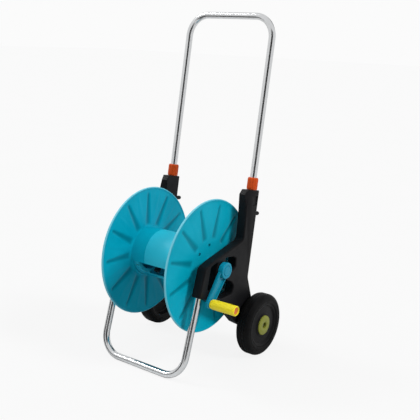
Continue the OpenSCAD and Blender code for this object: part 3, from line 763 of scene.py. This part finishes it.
def arm_outline(head, tip, n=16):
    """Outline round the head and the tip, joined by straight sides."""
    spread = math.degrees(math.acos((head - tip) / crank_len))
    pts = arc(crank_len, 0, tip, -spread, spread, n)
    pts += [(head * math.cos(math.radians(a)), head * math.sin(math.radians(a)))
            for a in [spread + 8 + k * (344 - 2 * spread) / 24 for k in range(25)]]
    return pts


def crank_mesh():
    """Arm with a raised rim round its sunk face, its round head and the eye for the grip's pin."""
    verts, faces = [], []
    rows = [(ARM_HALF + step, ARM_HALF + step - TIP_LESS, x) for step, x in (
        (-1.0, crank_in), (-0.2, crank_in + 0.6), (0, crank_in + 1.5),
        (0, arm_out - 1.2), (-0.4, arm_out - 0.3), (-1.0, arm_out),
        (-2.0, arm_out), (-2.7, arm_out - 0.5), (-3.0, arm_out - 1.4),
        (-3.6, arm_out - 4.0), (-4.4, arm_out - 4.6))]
    for head, tip, x in rows:
        loop = arm_outline(head, tip)
        verts += [(x, y, z) for y, z in loop]
    n = len(loop)
    for k in range(len(rows) - 1):
        bridge(faces, k * n, (k + 1) * n, n)
    faces += [tuple(range(n)), tuple(range((len(rows) - 1) * n, len(rows) * n))]
    head = [(SCREW_BORE, crank_in + 9, 0), (SCREW_BORE, crank_in, 0), (HEAD_R - 0.6, crank_in, 0.6),
            (HEAD_R, crank_in + 1, 0.6), (HEAD_R, crank_out - 1.4, 0), (HEAD_R - 1.4, crank_out, 1.2),
            (14.2, crank_out, 0.6), (COVER_SEAT_R, crank_out - 1, 0.4), (COVER_SEAT_R, crank_out - 5, 0),
            (SCREW_BORE, crank_out - 5, 0)]
    eye = [(PIN_BORE, crank_in + 0.2, 0), (EYE_R, crank_in + 0.2, 0.4), (EYE_R, arm_out, 0.8),
           (PIN_BORE, arm_out, 0)]
    eye_verts, eye_faces = turned(soft_profile(eye), 64)
    eye_verts = [(x, y + crank_len, z) for x, y, z in eye_verts]
    return joined((verts, faces), turned(soft_profile(head), 96), (eye_verts, eye_faces))


piece("crank_lever", *crank_mesh(), "crank", "drum", ("crank_arm",), ON_CRANK, 35)
AXIS = 0.01  # as near the axis as a turned profile comes
cover = [(AXIS, crank_out - 2.3, 0), (9, crank_out - 2.3, 0), (9, crank_out - 5, 0),
         (COVER_R, crank_out - 5, 0), (COVER_R, crank_out - 0.2, 0.6), (11.6, crank_out + 0.5, 0.8),
         (4, crank_out + 0.9, 3), (AXIS, crank_out + 0.9, 0)]
piece("crank_cover", *turned(soft_profile(cover), 72), "crank", "drum", ("crank_cap",), AT_DRUM, 35)

grip_lo, grip_hi = here(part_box("crank_grip")[0]), here(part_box("crank_grip")[1])
GRIP_R, GRIP_BORE = 13.0, 4.1
g0, g1 = grip_lo.x, grip_hi.x
grip = [(GRIP_BORE, g0, 0), (GRIP_R - 1.6, g0, 1), (GRIP_R - 1.0, g0 + 2, 0.8), (GRIP_R - 1.0, g0 + 4, 0.8),
        (GRIP_R - 0.3, g0 + 6, 3), (GRIP_R, g0 + 20, 20), (GRIP_R, g1 - 2.0, 0), (GRIP_R - 1.6, g1, 1.5),
        (10.2, g1, 0.8), (9.2, g1 - 1.6, 0.6), (8.6, g1 - 11.3, 0), (GRIP_BORE, g1 - 11.3, 0)]
AT_GRIP = ON_CRANK @ Matrix.Translation((0, crank_len, 0))
piece("hand_grip", *turned(soft_profile(grip), 80), "grip", "grip", ("crank_grip",), AT_GRIP, 35)
plug = [(AXIS, g1 - 7.5, 0), (8.3, g1 - 7.5, 0), (8.9, g1 - 3.0, 0.8), (6.5, g1 - 2.4, 1.5),
        (3, g1 - 3.4, 2), (AXIS, g1 - 3.6, 0)]
piece("grip_plug", *turned(soft_profile(plug), 64), "cap", "grip", ("grip_cap",), AT_GRIP, 35)

# ---------------------------------------------------------------- pieces that stay as the CAD has them

KEPT = {
    "leg_screws": "steel", "axle": "steel", "axle_washers": "steel", "accessory_pegs": "frame",
    "bush_left": "nylon", "bush_right": "nylon", "collet_left": "nylon", "collet_right": "nylon",
    "inlet_body": "fitting", "inlet_seals": "seal", "inlet_screws": "steel", "handle_plugs": "fitting",
    "drum_screws_left": "steel", "drum_screws_right": "steel", "water_spindle": "brass",
    "hose_outlet": "fitting", "drive_shaft": "steel", "crank_screw": "steel", "grip_pin": "steel",
    "push_nut_left": "steel", "push_nut_right": "steel",
}
for node, look in KEPT.items():
    o = frame["nodes"][node]
    o.data.materials.clear()
    o.data.materials.append(M[look])

# ---------------------------------------------------------------- floor, light and camera

FLOOR_SIZE, FLOOR_Z = 60, -0.0005
FLOOR_GREY = (0.54, 0.56)
PAPER, SHADOW_TRACE = 0.965, 0.12
bpy.ops.mesh.primitive_plane_add(size=FLOOR_SIZE, location=(0, 0, FLOOR_Z))
floor = bpy.context.object
floor.name = "floor"
floor_m, t, b = node_tree("floor_pale")
b.inputs["Roughness"].default_value = 0.7
b.inputs["Specular IOR Level"].default_value = 0.0
coords = t.nodes.new("ShaderNodeTexCoord").outputs["Object"]
floor_tone = ramp(t, noise_node(t, coords, 3, 2),
                  [(0.3, grey(FLOOR_GREY[0])), (0.7, grey(FLOOR_GREY[1]))])
t.links.new(floor_tone, b.inputs["Base Color"])
# The camera sees the floor as bright as the paper behind it, with only a trace of the shadow
paper = t.nodes.new("ShaderNodeEmission")
trace = t.nodes.new("ShaderNodeMixShader")
pick = t.nodes.new("ShaderNodeMixShader")
paper.inputs["Color"].default_value = (PAPER, PAPER, PAPER, 1)
paper.inputs["Strength"].default_value = 1.02
trace.inputs["Fac"].default_value = SHADOW_TRACE
t.links.new(paper.outputs["Emission"], trace.inputs[1])
t.links.new(b.outputs["BSDF"], trace.inputs[2])
t.links.new(t.nodes.new("ShaderNodeLightPath").outputs["Is Camera Ray"], pick.inputs["Fac"])
t.links.new(b.outputs["BSDF"], pick.inputs[1])
t.links.new(trace.outputs["Shader"], pick.inputs[2])
t.links.new(pick.outputs["Shader"], t.nodes["Material Output"].inputs["Surface"])
floor.data.materials.append(floor_m)

world = bpy.data.worlds.new("studio")
scene.world = world
world.use_nodes = True
wt = world.node_tree
wt.nodes.clear()
out = wt.nodes.new("ShaderNodeOutputWorld")
path = wt.nodes.new("ShaderNodeLightPath")


def background(value):
    b = wt.nodes.new("ShaderNodeBackground")
    b.inputs["Color"].default_value = (value, value, value, 1)
    return b.outputs["Background"]


def choose(test, no, yes):
    pick = wt.nodes.new("ShaderNodeMixShader")
    wt.links.new(path.outputs[test], pick.inputs["Fac"])
    wt.links.new(no, pick.inputs[1])
    wt.links.new(yes, pick.inputs[2])
    return pick.outputs["Shader"]


FILL, SHINE = 0.29, 0.76  # how bright the room is in diffuse light and in reflections
reflected = choose("Is Glossy Ray", background(FILL), background(SHINE))
wt.links.new(choose("Is Camera Ray", reflected, background(PAPER)), out.inputs["Surface"])


def sun(name, azimuth, elevation, strength, width, shines=False):
    """Light from a bearing; azimuth as the camera's, 0 from -Y and 90 from +X. Only a light
    that shines gives highlights."""
    data = bpy.data.lights.new(name, "SUN")
    data.energy = strength
    data.angle = math.radians(width)
    o = bpy.data.objects.new(name, data)
    a, e = math.radians(azimuth), math.radians(elevation)
    back = Vector((math.sin(a) * math.cos(e), -math.cos(a) * math.cos(e), math.sin(e)))
    o.rotation_mode = "QUATERNION"
    o.rotation_quaternion = back.to_track_quat("Z", "Y")
    o.visible_glossy = shines
    scene.collection.objects.link(o)


sun("key", 100, 40, 1.85, 16)
sun("top", -25, 62, 1.5, 60)
sun("rim", -72, 42, 1.1, 14, shines=True)

card_m, t, b = node_tree("card_black")
b.inputs["Base Color"].default_value = (0.06, 0.06, 0.06, 1)
b.inputs["Specular IOR Level"].default_value = 0.0
b.inputs["Roughness"].default_value = 1.0


def card(name, points):
    """Black card that shows only in reflections."""
    mesh = bpy.data.meshes.new(name)
    mesh.from_pydata(points, [], [tuple(range(len(points)))])
    o = bpy.data.objects.new(name, mesh)
    scene.collection.objects.link(o)
    mesh.materials.append(card_m)
    o.visible_camera = o.visible_diffuse = o.visible_shadow = o.visible_transmission = False


def bearing(azimuth, distance, height):
    a = math.radians(azimuth)
    return (math.sin(a) * distance, -math.cos(a) * distance, height)


def dark_sector(name, middle, half, near, far, height):
    """A wall and a wedge of floor, dark in reflections, between two bearings."""
    ends = (middle - half, middle + half)
    card(f"{name}_wall", [bearing(ends[0], far, 0), bearing(ends[1], far, 0),
                          bearing(ends[1], far, height), bearing(ends[0], far, height)])
    card(f"{name}_floor", [bearing(ends[0], near, 0.001), bearing(ends[1], near, 0.001),
                           bearing(ends[1], far, 0.001), bearing(ends[0], far, 0.001)])


FAR = 2.6
dark_sector("card_camera", middle=36, half=30, near=1.3, far=FAR, height=2.6)
dark_sector("card_left", middle=-36, half=22, near=0.40, far=FAR, height=0.5)
card("card_high", [bearing(160, FAR, 1.7), bearing(188, FAR, 1.7),
                   bearing(188, FAR, 3.2), bearing(160, FAR, 3.2)])

CAM_AZ, CAM_EL, CAM_ROLL = math.radians(36.043), math.radians(13.058), math.radians(2.378)
CAM_DIST, CAM_LENS = 2070.69, 63.74
CAM_AIM = Vector((-5.744, 0, 373.13))
back = Vector((math.sin(CAM_AZ) * math.cos(CAM_EL), -math.cos(CAM_AZ) * math.cos(CAM_EL), math.sin(CAM_EL)))
right = Vector((math.cos(CAM_AZ), math.sin(CAM_AZ), 0))
up = back.cross(right)
rolled_right = right * math.cos(CAM_ROLL) + up * math.sin(CAM_ROLL)
rolled_up = up * math.cos(CAM_ROLL) - right * math.sin(CAM_ROLL)
cam_data = bpy.data.cameras.new("camera")
cam_data.lens = CAM_LENS
cam_data.sensor_width = 36
cam = bpy.data.objects.new("camera", cam_data)
facing = Matrix((rolled_right, rolled_up, back)).transposed().to_4x4()
cam.matrix_world = Matrix.Translation(place(CAM_AIM + back * CAM_DIST)) @ facing
scene.collection.objects.link(cam)
scene.camera = cam

# ---------------------------------------------------------------- finish

bpy.context.view_layer.update()
